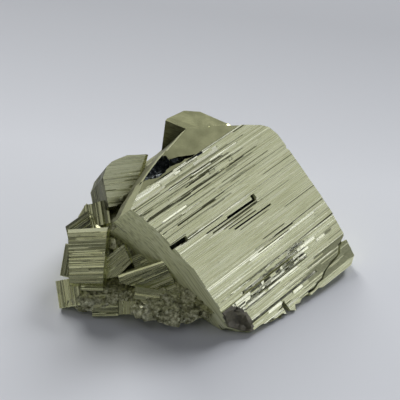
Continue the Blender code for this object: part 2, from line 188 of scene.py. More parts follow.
# How strongly parts of a face are striated: limits along, limits across, how far the striae
# may sink, how much they tilt, how many narrow ones are steep and dark, the mean length that a
# stria stays the same, the lean that all of them share, and how many stretches are chipped
# out. A spot belongs to the first patch that holds it.
Patch = namedtuple("Patch", "along across sink tilt dark stretch lean chipped")
PATCHES = (
    Patch((-9, 48), (-14, -11.0), 0.04, 0.04, 0.03, 8.0, -0.04, 0.0),
    Patch((22, 48), (-11.0, -4.6), 0.02, 0.03, 0.02, 9.0, -0.215, 0.0),
    Patch((38, 48), (-4.6, 7.2), 0.04, 0.05, 0.08, 9.0, -0.13, 0.0),
    Patch((-9, 22), (-11.0, -3.4), 0.05, 0.08, 0.06, 9.0, 0.02, 0.01),
    Patch((1, 31), (-3.4, 2.0), 0.10, 0.07, 0.20, 2.2, 0.19, 0.07),
    Patch((-9, 48), (-4.6, 0.6), 0.05, 0.06, 0.06, 7.0, 0.02, 0.01),
    Patch((-9, 48), (0.6, 7.2), 0.03, 0.05, 0.07, 22.0, 0.02, 0.0),
    Patch((-9, 48), (7.2, 13.4), 0.02, 0.035, 0.02, 26.0, 0.0, 0.0),
    Patch((-9, 48), (13.4, 18.4), 0.03, 0.04, 0.14, 14.0, 0.0, 0.0),
    Patch((2, 27), (18.4, 21.4), 0.02, 0.03, 0.03, 14.0, 0.02, 0.0),
    Patch((-9, 28), (18.4, 24.0), 0.04, 0.05, 0.16, 14.0, -0.02, 0.0),
    Patch((28, 48), (18.4, 24.0), 0.02, 0.04, 0.04, 18.0, 0.0, 0.0),
    Patch((-9, 29), (24.0, 32.0), 0.05, 0.07, 0.55, 5.0, -0.02, 0.0),
    Patch((29, 48), (24.0, 36.9), 0.015, 0.02, 0.02, 20.0, -0.03, 0.0),
    Patch((4, 26), (32.0, 37.2), 0.06, 0.09, 0.70, 10.0, 0.02, 0.0),
    Patch((-9, 4), (32.0, 37.2), 0.06, 0.08, 0.40, 10.0, 0.02, 0.0),
)
EVERYWHERE = ((-99, 99), (-99, 99))
CALM = Patch(*EVERYWHERE, 0.0, 0.0, 0.0, 50.0, 0.0, 0.0)
SMOOTH = Patch(*EVERYWHERE, 0.01, 0.015, 0.0, 30.0, 0.0, 0.0)
FINE = Patch(*EVERYWHERE, 0.03, 0.05, 0.12, 9.0, 0.10, 0.0)
MIDDLING = Patch(*EVERYWHERE, 0.06, 0.10, 0.18, 9.0, 0.02, 0.01)
LEFT_FACE = Patch(*EVERYWHERE, 0.10, 0.12, 0.12, 18.0, 0.0, 0.0)
# How steep the dark striae are, and their ways: two in three face down, and one faces up.
DARK_TILTS = (0.36, 0.5)
DARK_WAYS = (1, 1, -1)
# How deep the chipped stretches lie.
CHIP_DEPTHS = (0.2, 0.5)

# Single dark striae of the large face: lower and upper edge across, start and end along.
# All of them have the same tilt.
DARK_STRIAE = (
    (17.1, 17.5, 10.5, 27.7), (16.3, 16.55, 14.0, 25.0), (13.6, 13.8, 18.0, 29.0),
    (5.8, 6.05, 19.0, 31.0), (24.1, 24.5, 3.0, 17.0), (25.9, 26.2, 6.0, 13.0),
    (28.5, 28.8, 9.0, 19.0), (11.5, 11.7, 34.0, 46.8), (20.3, 20.5, 30.0, 46.8),
    (22.2, 22.4, 34.0, 46.8),
)
DARK_TILT = 0.42

# The large crystal's finishes in the order of its materials. The striated ones are along,
# across and up the crystal, and so are the etched ones, which start at ETCHED.
ALONG, ACROSS, UPRIGHT, SHOULDER, BROKEN = range(5)
BLACK_SHADE, PALE_LIT_SIDE, GROOVE_SHADE, PAINTED_HIGHLIGHT, ETCHED = range(5, 10)
# The finish of a face that looks along, across or out of its crystal.
STRIATED_BY_AXIS = (ACROSS, UPRIGHT, ALONG)
# A part that faces out less than this is in a groove and gets painted groove shade, and one this far
# under the plain face gets painted black shade. Only what faces out this much gets the black shade.
GROOVE_UPRIGHT = 0.95
GROOVE_DEPTH = 0.34
BLACK_UPRIGHT = 0.1
# How far a stria leans down, towards the low window light, where it gets a painted highlight: the
# palest and glossiest metal.
HIGHLIGHT_LEANS = (-0.32, -0.12)
# Below this level of the large crystal, its underside is etched, and so are the sides that
# face up or right this much.
REAR_LEVEL = -8.5
REAR_FACING = 0.3
# How near to level a face is that gathers dust and gets a painted matt shade in place of lamp
# glints, by its finish.
LEDGE_LEVELS = {ALONG: 0.85, ACROSS: 0.85, UPRIGHT: 0.5, PALE_LIT_SIDE: 0.85, GROOVE_SHADE: 0.8}


def block(along, across):
    """The corners of a plain rectangular face."""
    return (
        (-along / 2, -across / 2), (along / 2, -across / 2),
        (along / 2, across / 2), (-along / 2, across / 2),
    )


# Each smaller crystal: a point on its main face, its turn in degrees, the face's corners as
# along and across, its depth, and how far in the leaning faces start on each side.
Crystal = namedtuple("Crystal", "name place turn corners depth trims")
BACK_FACE = ((-9.2, -1.8), (9.0, -3.5), (7.7, 6.5), (-2.7, 8.0), (-6.3, 6.3), (-9.2, -0.6))
UPPER_LEFT_FACE = (
    (-5.7, -6.7), (1.6, -6.4), (8.4, 3.9), (10.3, 7.4),
    (3.7, 7.8), (-1.0, 6.5), (-3.1, 5.2), (-5.1, 2.1),
)
LEFT_BLOCK_FACE = ((-4.4, -5.6), (4.6, -5.9), (5.6, 9.6), (-5.5, 9.4))
DARK_UPPER_FACE = ((-5.9, -1.1), (-1.4, -3.6), (3.9, -3.2), (5.6, 1.9), (-3.3, 2.6))
DARK_LOWER_FACE = ((-7.5, 1.5), (-0.9, -3.7), (6.0, -7.6), (5.6, 2.3), (-7.2, 3.4))
CRYSTALS = (
    Crystal("pale_ledge", (-12.4, -24.6, 7.0), (32.0, 6.0, -6.0),
            block(12.0, 3.4), 4.0, (0, 0.4, 0.3, 0.4)),
    Crystal("back_crystal", (-1.5, 16.0, 33.1), (-2.0, 7.0, -22.0),
            BACK_FACE, 30.0, (0, 1.5, 0.7, 0.8, 0, 0)),
    Crystal("upper_left_crystal", (-22.5, 3.8, 23.2), (34.0, 11.0, 26.0),
            UPPER_LEFT_FACE, 12.0, (0, 1.3, 0, 0, 0, 0, 0, 0)),
    Crystal("left_block", (-31.3, -18.1, 13.1), (35.0, -7.0, -5.0),
            LEFT_BLOCK_FACE, 12.0, (0, 0.4, 1.5, 0.4)),
    Crystal("dark_upper_crystal", (-24.3, -16.7, 11.6), (42.0, -34.0, 24.0),
            DARK_UPPER_FACE, 9.0, (0, 0, 0.6, 0, 0)),
    Crystal("dark_lower_crystal", (-14.8, -20.5, 10.0), (56.0, -18.0, 15.0),
            DARK_LOWER_FACE, 10.0, (0, 0, 0, 0.8, 0)),
    Crystal("chip", (-16.9, -14.6, 11.1), (33.0, -11.0, 26.0),
            block(5.0, 3.5), 6.0, (0, 0.3, 0.3, 0)),
    Crystal("low_left_crystal", (-36.3, -20.9, 4.6), (-30.0, -45.0, 103.0),
            block(7.5, 6.8), 9.0, (0.6, 0.4, 0, 0.5)),
    Crystal("behind_left_crystal", (-36.0, -11.3, 7.2), (-25.0, -51.0, 74.0),
            block(9.0, 8.0), 9.0, (0, 0.6, 0.6, 0.6)),
    Crystal("upper_step", (-29.8, -21.3, 7.4), (46.0, 1.0, -1.0),
            block(6.0, 2.5), 7.0, (0, 0, 0.3, 0)),
    Crystal("middle_step", (-26.8, -24.1, 4.6), (43.0, 0.0, 5.0),
            block(5.5, 3.5), 7.0, (0, 0.3, 0.3, 0)),
    Crystal("lower_step", (-26.3, -25.7, 2.5), (64.0, -2.0, 1.0),
            block(7.0, 3.0), 8.0, (0, 0, 0.4, 0)),
    Crystal("front_step", (-20.1, -26.3, 4.2), (3.0, -49.0, 93.0),
            block(3.5, 5.0), 8.0, (0.3, 0, 0.3, 0)),
    Crystal("under_left_crystal", (-29.2, -3.2, 17.5), (-23.0, -30.0, 101.0),
            block(7.0, 7.0), 10.0, (0.3, 0.2, 0, 0.3)),
    Crystal("left_shoulder_crystal", (-34.2, -6.6, 15.9), (2.0, -35.0, 12.0),
            block(8.0, 7.0), 10.0, (0, 0.2, 0.3, 0.4)),
    Crystal("small_olive_crystal", (-31.6, -2.3, 17.1), (5.0, -30.0, 56.0),
            block(4.5, 4.5), 8.0, (0.2, 0, 0.2, 0)),
    Crystal("rear_left_crystal", (-17.0, 18.0, 19.0), (-38.0, -22.0, 30.0),
            block(13.0, 11.0), 15.0, (1.2, 0.8, 1.6, 0.6)),
    Crystal("rear_low_crystal", (-6.0, 32.0, 11.0), (-62.0, 8.0, 14.0),
            block(14.0, 10.0), 16.0, (0.8, 1.2, 1.8, 0.6)),
    Crystal("rear_right_crystal", (12.0, 33.0, 6.5), (-55.0, 20.0, -18.0),
            block(9.0, 8.0), 12.0, (0.9, 0.7, 0.6, 0)),
    Crystal("rear_corner_crystal", (-25.0, 18.0, 8.0), (-50.0, -36.0, 60.0),
            block(10.0, 9.0), 13.0, (1.0, 1.0, 0.5, 0)),
    Crystal("right_foot_crystal", (30.0, -2.0, 2.5), (52.0, 24.0, 38.0),
            block(9.0, 6.0), 9.0, (0, 0.6, 0.8, 0.5)),
)
# The smaller crystals whose main faces aren't middling, those that are weathered, those whose left
# and right sides get painted groove shade, and those at the rear, which are etched.
FACE_PATCHES = {"back_crystal": SMOOTH, "upper_left_crystal": FINE}
WEATHERED = (
    "upper_left_crystal", "under_left_crystal", "left_shoulder_crystal", "small_olive_crystal",
    "behind_left_crystal",
)
SHADE_SIDED = ("upper_left_crystal",)
REAR = (
    "rear_left_crystal", "rear_low_crystal", "rear_right_crystal", "rear_corner_crystal",
    "right_foot_crystal",
)
# A leaning side face rises this many times as far as it runs in.
SIDE_LEAN = 2.0
# How far a cutting bar reaches past what it cuts.
MARGIN = 2.0
# How far the relief of a smaller crystal lies under its face, and how much less deep than the
# crystal it is.
UNDER_FACE = 0.1
BAR_SHORTER = 0.5

# The lumps of granular pyrite: centre, radii, how finely each is faceted, the headings that
# its grains face, and how many grains stand out of it.
Lump = namedtuple("Lump", "centre radii facets headings grains")
LUMPS = (
    Lump((-25.0, -16.6, 2.2), (13.0, 9.2, 4.8), 6, (-170, -30), 30),
    Lump((-8.0, -21.2, 3.0), (15.0, 10.0, 4.7), 6, (-165, -20), 34),
    Lump((-31.5, -19.6, 1.2), (6.0, 5.2, 2.6), 5, (-160, -60), 6),
    Lump((14.0, -23.8, 0.3), (8.0, 4.2, 2.0), 5, (-130, -10), 4),
    Lump((-26.0, -3.0, 5.0), (11.0, 14.0, 12.0), 5, (100, 260), 24),
    Lump((-12.0, 10.0, 6.0), (20.0, 18.0, 14.0), 5, (60, 190), 30),
    Lump((6.0, 22.0, 3.0), (20.0, 13.0, 9.0), 5, (0, 130), 30),
    Lump((22.0, -4.0, 0.0), (16.0, 10.0, 5.0), 5, (-80, 60), 30),
)
# How far a lump draws in towards its underside.
UNDERCUT = 0.5
# A lump's broad unevenness: its height and its width, against the lump's radius.
COARSE_ROUGHNESS = 0.09
COARSE_SIZE = 0.45
# Each lump takes its pattern from another place, within this distance.
PATTERN_SHIFT = 50
# The facets of the granular base: their size, how far they may sink, and how much they tilt.
GRAIN_CELLS = ((4.8, 0.7, 3.4), (1.4, 0.12, 0.6))
# This spreads the cells out, so that each one gets a slope of its own.
CELL_SPREAD = 7
GRAIN_SIZES = (0.4, 1.5)
# The smallest and largest length of a grain along its second and third axes, against its first.
GRAIN_STRETCH = ((0.7, 1.1), (0.6, 1.0))
# How high on its lump a grain stands, how far out its middle is, both against the lump's
# radius, and the widest angle that it is turned by.
GRAIN_LIFT = (0.0, 0.75)
GRAIN_SINK = 0.94
RIGHT_ANGLE = 90.0

# The table: how far it reaches, where it starts to rise, over how long it bends and in what
# steps, the slope that it ends with, its thickness, its turn in degrees, and its gap under the
# specimen.
TABLE_REACH = 1500.0
TABLE_FLAT_TO = 40.0
TABLE_BEND = 80
TABLE_BEND_STEP = 2
TABLE_SLOPE = 0.26
TABLE_THICK = 10.0
TABLE_TURN = -12.0
TABLE_GAP = 0.1

# The lights: soft ones behind and at the right, and the walls of a dim room. Each has its
# azimuth (0 is straight back and 90 is right) and its elevation in degrees, its width and
# height for each metre of distance, its radiance and its tint.
Light = namedtuple("Light", "name azimuth elevation spread radiance tint")
LIGHTS = (
    Light("window", 97, 44, (0.6, 0.56), 0.73, "#eceeff"),
    Light("window_sill", 106, 23, (0.42, 0.14), 2.1, "#e8ebff"),
    Light("back_wall", 16, 52, (0.7, 0.85), 0.25, "#f2f5ff"),
    Light("left_lamp", -18, 34, (0.38, 0.4), 15.0, "#ffffff"),
    Light("right_lamp", 35, 34, (0.38, 0.4), 14.5, "#fafbff"),
    Light("ceiling", -128, 70, (0.55, 0.5), 0.60, "#ffffff"),
    Light("left_wall", -120, 30, (0.8, 0.45), 0.36, "#ffffff"),
    Light("front_wall", 180, 36, (0.7, 0.45), 0.17, "#ffffff"),
)
ROOM_TINT = "#26282a"
# How far each light stands, in metres.
LIGHT_DISTANCE = 6.0


def frame_of(place, turn):
    """The matrix that takes a crystal's own millimetres to its place in the cluster."""
    spin = Euler([math.radians(angle) for angle in turn], "XYZ").to_matrix().to_4x4()
    return Matrix.Translation(Vector(place)) @ spin


def as_object(name, shape):
    """Turns a bmesh into an object, with its faces pointing out."""
    bmesh.ops.recalc_face_normals(shape, faces=shape.faces)
    mesh = bpy.data.meshes.new(name)
    shape.to_mesh(mesh)
    shape.free()
    made = bpy.data.objects.new(name, mesh)
    bpy.context.scene.collection.objects.link(made)
    return made


def stacked_rings(rings):
    """A closed solid through rings of points, each ring holding the same number."""
    shape = bmesh.new()
    rows = [[shape.verts.new(point) for point in ring] for ring in rings]
    count = len(rows[0])
    for lower, upper in zip(rows, rows[1:]):
        for i in range(count):
            j = (i + 1) % count
            shape.faces.new((lower[i], lower[j], upper[j], upper[i]))
    shape.faces.new(rows[0])
    shape.faces.new(rows[-1])
    return shape


def hull_of(points):
    """The smallest solid with flat faces that holds all the points."""
    shape = bmesh.new()
    for point in points:
        shape.verts.new(point)
    bmesh.ops.convex_hull(shape, input=shape.verts)
    return shape


def cut_away(shape, point, outward):
    """Takes off all that lies beyond the plane through a point, and closes the cut."""
    everything = shape.verts[:] + shape.edges[:] + shape.faces[:]
    bmesh.ops.bisect_plane(
        shape, geom=everything, plane_co=point, plane_no=outward, clear_outer=True
    )
    rim = [edge for edge in shape.edges if edge.is_boundary]
    bmesh.ops.holes_fill(shape, edges=rim, sides=0)


def combine(target, tool, operation):
    """Joins, cuts or intersects two solids, and keeps only the result."""
    step = target.modifiers.new(operation.lower(), "BOOLEAN")
    step.operation = operation
    step.solver = "MANIFOLD"
    step.object = tool
    graph = bpy.context.evaluated_depsgraph_get()
    result = bpy.data.meshes.new_from_object(target.evaluated_get(graph))
    target.modifiers.clear()
    target.data = result
    bpy.data.objects.remove(tool, do_unlink=True)


def patch_at(patches, along, across):
    """The patch that a spot of the face belongs to."""
    for patch in patches:
        if patch.along[0] <= along < patch.along[1] and patch.across[0] <= across < patch.across[1]:
            return patch
    return CALM


def stria_edges(start, end, steps, marks, dice):
    """Where the striae begin and end, with the face's own steps and the single dark striae in
    their places."""
    edges = [start]
    while edges[-1] < end:
        widths = NARROW_STRIA if dice.random() < NARROW_SHARE else BROAD_STRIA
        edges.append(edges[-1] + dice.uniform(*widths))
    edges = [edge for edge in edges if start < edge < end - CLEAR_OF_STEP]
    for step in steps:
        edges = [edge for edge in edges if abs(edge - step) > CLEAR_OF_STEP] + [step]
    for low, high, _, _ in marks:
        lowest = low - CLEAR_OF_STEP
        highest = high + CLEAR_OF_STEP
        edges = [edge for edge in edges if not lowest < edge < highest] + [low, high]
    return [start, *sorted(edges), end]


def stria(low, high, places, patches, marks, dice):
    """Heights above the plain face along a stria's two edges: it sinks and tilts by stretches."""
    middle = (low + high) / 2
    half = (high - low) / 2
    tilts = []
    lifts = []
    while len(tilts) < len(places):
        patch = patch_at(patches, places[len(tilts)], middle)
        length = max(STRETCH_SHORTEST, dice.expovariate(1 / patch.stretch))
        tilt = patch.lean + dice.gauss(0, patch.tilt)
        if high - low < NARROW_STRIA[1] and dice.random() < patch.dark:
            tilt = dice.choice(DARK_WAYS) * dice.uniform(*DARK_TILTS)
        lift = dice.uniform(-patch.sink, 0)
        if dice.random() < patch.chipped:
            lift = -dice.uniform(*CHIP_DEPTHS)
        count = max(1, round(length / (places[1] - places[0])))
        tilts += [tilt] * count
        lifts += [lift] * count
    for mark_low, mark_high, start, end in marks:
        if mark_low < middle < mark_high:
            tilts = [
                DARK_TILT if start < along < end else tilt for along, tilt in zip(places, tilts)
            ]
    lower = [lift - (tilt + abs(tilt)) * half for lift, tilt in zip(lifts, tilts)]
    upper = [lift + (tilt - abs(tilt)) * half for lift, tilt in zip(lifts, tilts)]
    return lower[:len(places)], upper[:len(places)]


def level_on(profile, place):
    """The height of a profile's line at a place."""
    for (start, low), (end, high) in zip(profile, profile[1:]):
        if start <= place <= end:
            return low + (high - low) * (place - start) / max(end - start, RISER)
    return profile[-1][1]


def relief_bar(places, rows, depth):
    """A bar whose upper side is a relief: rows of heights, each at its distance across."""
    shape = bmesh.new()
    grid = [
        [shape.verts.new((along, across, height)) for along, height in zip(places, heights)]
        for across, heights in rows
    ]
    for lower, upper in zip(grid, grid[1:]):
        for i in range(len(places) - 1):
            shape.faces.new((lower[i], lower[i + 1], upper[i + 1], upper[i]))
    corners = [
        shape.verts.new((along, across, -depth))
        for along, across in (
            (places[0], rows[0][0]), (places[-1], rows[0][0]),
            (places[-1], rows[-1][0]), (places[0], rows[-1][0]),
        )
    ]
    shape.faces.new([*grid[0], corners[1], corners[0]])
    shape.faces.new([*(row[-1] for row in grid), corners[2], corners[1]])
    shape.faces.new([*reversed(grid[-1]), corners[3], corners[2]])
    shape.faces.new([*(row[0] for row in reversed(grid)), corners[0], corners[3]])
    shape.faces.new(corners)
    return shape


def steps_between(start, end, step):
    """Evenly spaced places from start to end, a step apart at most."""
    count = max(1, math.ceil((end - start) / step))
    return [start + (end - start) * i / count for i in range(count + 1)]


def striated_bar(ends, edges, level, patches, marks, depth, dice):
    """A bar that runs along a crystal's striations, with fine striae laid over its level."""
    places = steps_between(*ends, ALONG_STEP)
    rows = []
    for low, high in zip(edges, edges[1:]):
        lower, upper = stria(low, high, places, patches, marks, dice)
        for across, heights in ((low + RISER, lower), (high - RISER, upper)):
            rows.append((across, [
                level(along, across) + height for along, height in zip(places, heights)
            ]))
    return relief_bar(places, rows, depth)


def refined(corners, step):
    """The outline with points added, and for each point whether it is on a side that faces left
    or right."""
    points = []
    for corner, following in zip(corners, corners[1:] + corners[:1]):
        start = Vector(corner)
        run = Vector(following) - start
        count = max(1, round(run.length / step))
        points += [(start + run * i / count, abs(run.y) > abs(run.x)) for i in range(count)]
    return points


def layered_body(corners, layers, depth, growth, patches, dice):
    """An outline drawn down in fine layers, which stripe its left and right sides."""
    points = refined(corners, OUTLINE_STEP)
    middle = sum((point for point, _ in points), Vector((0, 0))) / len(points)
    edges = [-edge for edge in stria_edges(-layers, depth, (), (), dice)]
    sides = [math.copysign(1.0, point.x - middle.x) for point, _ in points]
    places = [i * OUTLINE_STEP for i in range(len(points))]
    rings = []
    for high, low in zip(edges, edges[1:]):
        upper, lower = stria(low, high, places, patches, (), dice)
        for level, heights in ((high - RISER, upper), (low + RISER, lower)):
            rings.append([
                (point.x + side * (height * faces_aside) + growth(point, level), point.y, level)
                for (point, faces_aside), side, height in zip(points, sides, heights)
            ])
    return stacked_rings(rings)


def no_growth(point, level):
    """The sides of a smaller crystal are upright."""
    return 0.0


def just_under(along, across):
    """The plain height of a smaller crystal's face, under the top of its outline."""
    return -UNDER_FACE


def main_growth(point, level):
    """How far the large crystal's left side is shifted at a level: below zero, so to the left."""
    if point.x >= LEFT_SIDE_WITHIN:
        return 0.0
    return -level_on(MAIN_GROWTH, level)


def lean_sides(shape, corners, trims):
    """Bevels the sides with the leaning faces that pyrite grows."""
    for corner, following, trim in zip(corners, corners[1:] + corners[:1], trims):
        if not trim:
            continue
        run = (Vector(following) - Vector(corner)).normalized()
        aside = Vector((run.y, -run.x))
        start = Vector(corner) - aside * trim
        cut_away(shape, Vector((*start, 0)), Vector((*aside, SIDE_LEAN)).normalized())


def smaller_crystal(crystal, dice):
    """A block with striations along its main face, and others crosswise on its sides."""
    patch = FACE_PATCHES.get(crystal.name, MIDDLING)
    sides = SMOOTH if patch is SMOOTH else MIDDLING
    drawn = layered_body(crystal.corners, MARGIN, crystal.depth, no_growth, (sides,), dice)
    body = as_object(crystal.name, drawn)
    reach = max(Vector(corner).length for corner in crystal.corners) + MARGIN
    edges = stria_edges(-reach, reach, (), (), dice)
    depth = crystal.depth - BAR_SHORTER
    bar = striated_bar((-reach, reach), edges, just_under, (patch,), (), depth, dice)
    combine(body, as_object("bar", bar), "INTERSECT")
    shape = bmesh.new()
    shape.from_mesh(body.data)
    bpy.data.objects.remove(body, do_unlink=True)
    lean_sides(shape, crystal.corners, crystal.trims)
    return as_object(crystal.name, shape)


def slot_cutter(start, end, width, depth):
    """A narrow slot between two points of the main face, with a floor that faces down it."""
    run = (Vector(end) - Vector(start)).normalized()
    aside = Vector((-run.y, run.x)) * (width / 2)
    if aside.y < 0:
        aside = -aside
    points = []
    for place in (Vector(start), Vector(end)):
        points += [(*(place + aside), ABOVE_FACE), (*(place - aside), ABOVE_FACE)]
        points += [(*(place + aside), SLOT_LEAN * width - depth), (*(place - aside), -depth)]
    return hull_of(points)


def crack_cutters():
    """The jagged crack across the lower right corner, as overlapping stretches."""
    for (*start, width), (*end, _) in zip(CRACK, CRACK[1:]):
        overlap = (Vector(end) - Vector(start)).normalized() * (width / 2)
        yield slot_cutter(Vector(start) - overlap, Vector(end) + overlap, width, CRACK_DEPTH)


def stair_cutter(low, high):
    """A box between its lowest and highest corner."""
    return hull_of(itertools.product(*zip(low, high)))


def cell_at(spot):
    """The middle of the cell that a spot lies in, and a random slope for that cell."""
    cell = noise.voronoi(spot)[1][0]
    return cell, noise.cell_vector(cell * CELL_SPREAD) - Vector((0.5, 0.5, 0.5))


def roughened(shape, ripple, rise):
    """Breaks a closed shape's surface into small tilted facets."""
    for vert in shape.verts:
        spot = vert.co / ripple
        cell, slope = cell_at(spot)
        vert.co += (slope * BREAK_PUSH + slope.cross(spot - cell) * BREAK_TILT) * rise
    return shape


def pit_cutter():
    """The pit between the striae and the shoulder, with ragged sides and a rough floor."""
    shape = hull_of([*PIT_FLOOR, *((along, across, PIT_TOP) for along, across, _ in PIT_FLOOR)])
    for _ in range(PIT_SPLITS):
        bmesh.ops.subdivide_edges(shape, edges=shape.edges[:], cuts=1, use_grid_fill=True)
    bmesh.ops.triangulate(shape, faces=shape.faces[:])
    return roughened(shape, PIT_RIPPLE, PIT_RISE)


def ball_cutter(ball):
    """A rough ball, which leaves a shell-shaped break."""
    shape = bmesh.new()
    bmesh.ops.create_icosphere(shape, subdivisions=ball.splits, radius=1.0)
    shape.transform(Matrix.Translation(Vector(ball.centre)) @ Matrix.Diagonal((*ball.radii, 1)))
    return roughened(shape, ball.ripple, ball.rise)


def profile_of(treads):
    """The large face seen end on: its treads, then the smooth shoulder that leans back."""
    points = []
    start = MAIN_LOWEST
    for end, level_start, level_end in treads:
        points += [(start + RISER, level_start), (end - RISER, level_end)]
        start = end
    shoulder_level = points[-1][1]
    points.append((SHOULDER_START, shoulder_level))
    fall = SHOULDER_SLOPE * (BEYOND_SHOULDER - SHOULDER_START)
    points.append((BEYOND_SHOULDER, shoulder_level - fall))
    return points


LEFT_PROFILE = profile_of(LEFT_TREADS)
RIGHT_PROFILE = profile_of(RIGHT_TREADS)


def main_level(along, across):
    """The plain height of the large face: stepped on its left, calmer on its right."""
    share = (along - TREADS_MEET[0]) / (TREADS_MEET[1] - TREADS_MEET[0])
    share = min(max(share, 0.0), 1.0)
    return (1 - share) * level_on(LEFT_PROFILE, across) + share * level_on(RIGHT_PROFILE, across)


def large_crystal(dice):
    """The main crystal: layered left side, striated face, smooth shoulder and its breaks."""
    sides = (LEFT_FACE,)
    drawn = layered_body(MAIN_OUTLINE, MAIN_HEADROOM, MAIN_DEPTH, main_growth, sides, dice)
    body = as_object("large_crystal", drawn)
    widest = max(growth for _, growth in MAIN_GROWTH)
    start = min(along for along, _ in MAIN_OUTLINE) - widest - MARGIN
    end = max(along for along, _ in MAIN_OUTLINE) + MARGIN
    depth = MAIN_DEPTH + MARGIN
    steps = [tread[0] for tread in LEFT_TREADS + RIGHT_TREADS[:-1]] + [SHOULDER_START]
    edges = stria_edges(MAIN_LOWEST, BEYOND_SHOULDER, steps, DARK_STRIAE, dice)
    bar = striated_bar((start, end), edges, main_level, PATCHES, DARK_STRIAE, depth, dice)
    combine(body, as_object("bar", bar), "INTERSECT")
    cutters = [slot_cutter(*slot) for slot in SLOTS]
    cutters += crack_cutters()
    cutters += [ball_cutter(HOLLOW), pit_cutter(), ball_cutter(PIT_END)]
    cutters += [stair_cutter(low, high) for low, high in STAIRS]
    for cutter in cutters:
        combine(body, as_object("cutter", cutter), "DIFFERENCE")
    return body


def granular_lump(lump, dice):
    """A rough ball of fine-grained pyrite, with its surface broken into small blocks."""
    shape = bmesh.new()
    bmesh.ops.create_icosphere(shape, subdivisions=lump.facets, radius=1.0)
    shift = Vector([dice.uniform(0, PATTERN_SHIFT) for _ in range(3)])
    place = Matrix.Translation(Vector(lump.centre)) @ Matrix.Diagonal((*lump.radii, 1))
    for vert in shape.verts:
        outward = vert.co.copy()
        coarse = COARSE_ROUGHNESS * noise.noise(outward / COARSE_SIZE + shift)
        drawn_in = 1 + UNDERCUT * min(outward.z, 0)
        spot = Vector((outward.x * drawn_in, outward.y * drawn_in, outward.z))
        vert.co = place @ (spot * (1 + coarse))
        for size, sink, tilt in GRAIN_CELLS:
            spot = vert.co / size + shift
            cell, slope = cell_at(spot)
            vert.co += outward * (sink * (slope.x - 0.5) + tilt * slope.dot(spot - cell))
    return as_object("lump", shape)


def grain(lump, dice):
    """A small cube that stands out of a lump."""
    heading = math.radians(dice.uniform(*lump.headings))
    lift = dice.uniform(*GRAIN_LIFT)
    level = math.sqrt(1 - lift * lift)
    spot = (math.cos(heading) * level, math.sin(heading) * level, lift)
    place = [
        middle + GRAIN_SINK * radius * part
        for middle, radius, part in zip(lump.centre, lump.radii, spot)
    ]
    turn = [dice.uniform(0, RIGHT_ANGLE) for _ in range(3)]
    stretch = Matrix.Diagonal((1.0, *(dice.uniform(*limits) for limits in GRAIN_STRETCH), 1.0))
    cube = bmesh.new()
    bmesh.ops.create_cube(cube, size=dice.uniform(*GRAIN_SIZES))
    cube.transform(frame_of(place, turn) @ stretch)
    return as_object("grain", cube)


def granular_base(dice):
    """The granular pyrite that the crystals grow from."""
    base = granular_lump(LUMPS[0], dice)
    base.name = "granular_base"
    for lump in LUMPS[1:]:
        combine(base, granular_lump(lump, dice), "UNION")
    for lump in LUMPS:
        grains = grain(lump, dice)
        for _ in range(lump.grains - 1):
            combine(grains, grain(lump, dice), "UNION")
        combine(base, grains, "UNION")
    return base


def cut_level(piece, place):
    """Cuts a piece off level with the table, and leaves it in its own axes."""
    shape = bmesh.new()
    shape.from_mesh(piece.data)
    shape.transform(place)
    cut_away(shape, Vector((0, 0, 0)), Vector((0, 0, -1)))
    shape.transform(place.inverted())
    bmesh.ops.recalc_face_normals(shape, faces=shape.faces)
    shape.to_mesh(piece.data)
    shape.free()


def put_in_cluster(piece, place):
    """Keeps each point's place on its own crystal for the finish, and moves the piece to its
    place in the cluster."""
    kept = piece.data.attributes.new(OWN_PLACE, "FLOAT_VECTOR", "POINT")
    kept.data.foreach_set("vector", [part for vert in piece.data.vertices for part in vert.co])
    to_origin = Matrix.Translation((-BOX_MIDDLE[0], -BOX_MIDDLE[1], 0))
    piece.data.transform(Matrix.Scale(MM, 4) @ to_origin @ place)
    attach(piece, "root")
    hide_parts("pyrite_cluster")


def colour(code):
    """Turns an sRGB hex colour into Blender's linear one."""
    parts = [int(code[i:i + 2], 16) / 255 for i in (1, 3, 5)]
    linear = [part / 12.92 if part <= 0.04045 else ((part + 0.055) / 1.055) ** 2.4 for part in parts]
    return (*linear, 1.0)


def add_node(material, kind, settings=None, inputs=None):
    """Adds one node, with its settings, and its inputs as values or as links."""
    tree = material.node_tree
    made = tree.nodes.new(kind)
    for name, value in (settings or {}).items():
        setattr(made, name, value)
    for name, value in (inputs or {}).items():
        if isinstance(value, bpy.types.NodeSocket):
            tree.links.new(value, made.inputs[name])
        else:
            made.inputs[name].default_value = value
    return made


def shaded_ramp(material, factor, stops):
    """Turns a pattern into colours, by stops of place and colour."""
    made = add_node(material, "ShaderNodeValToRGB", inputs={"Fac": factor})
    ramp = made.color_ramp
    ramp.elements[0].position = stops[0][0]
    ramp.elements[0].color = colour(stops[0][1])
    ramp.elements[1].position = stops[-1][0]
    ramp.elements[1].color = colour(stops[-1][1])
    for place, code in stops[1:-1]:
        ramp.elements.new(place).color = colour(code)
    return made.outputs["Color"]


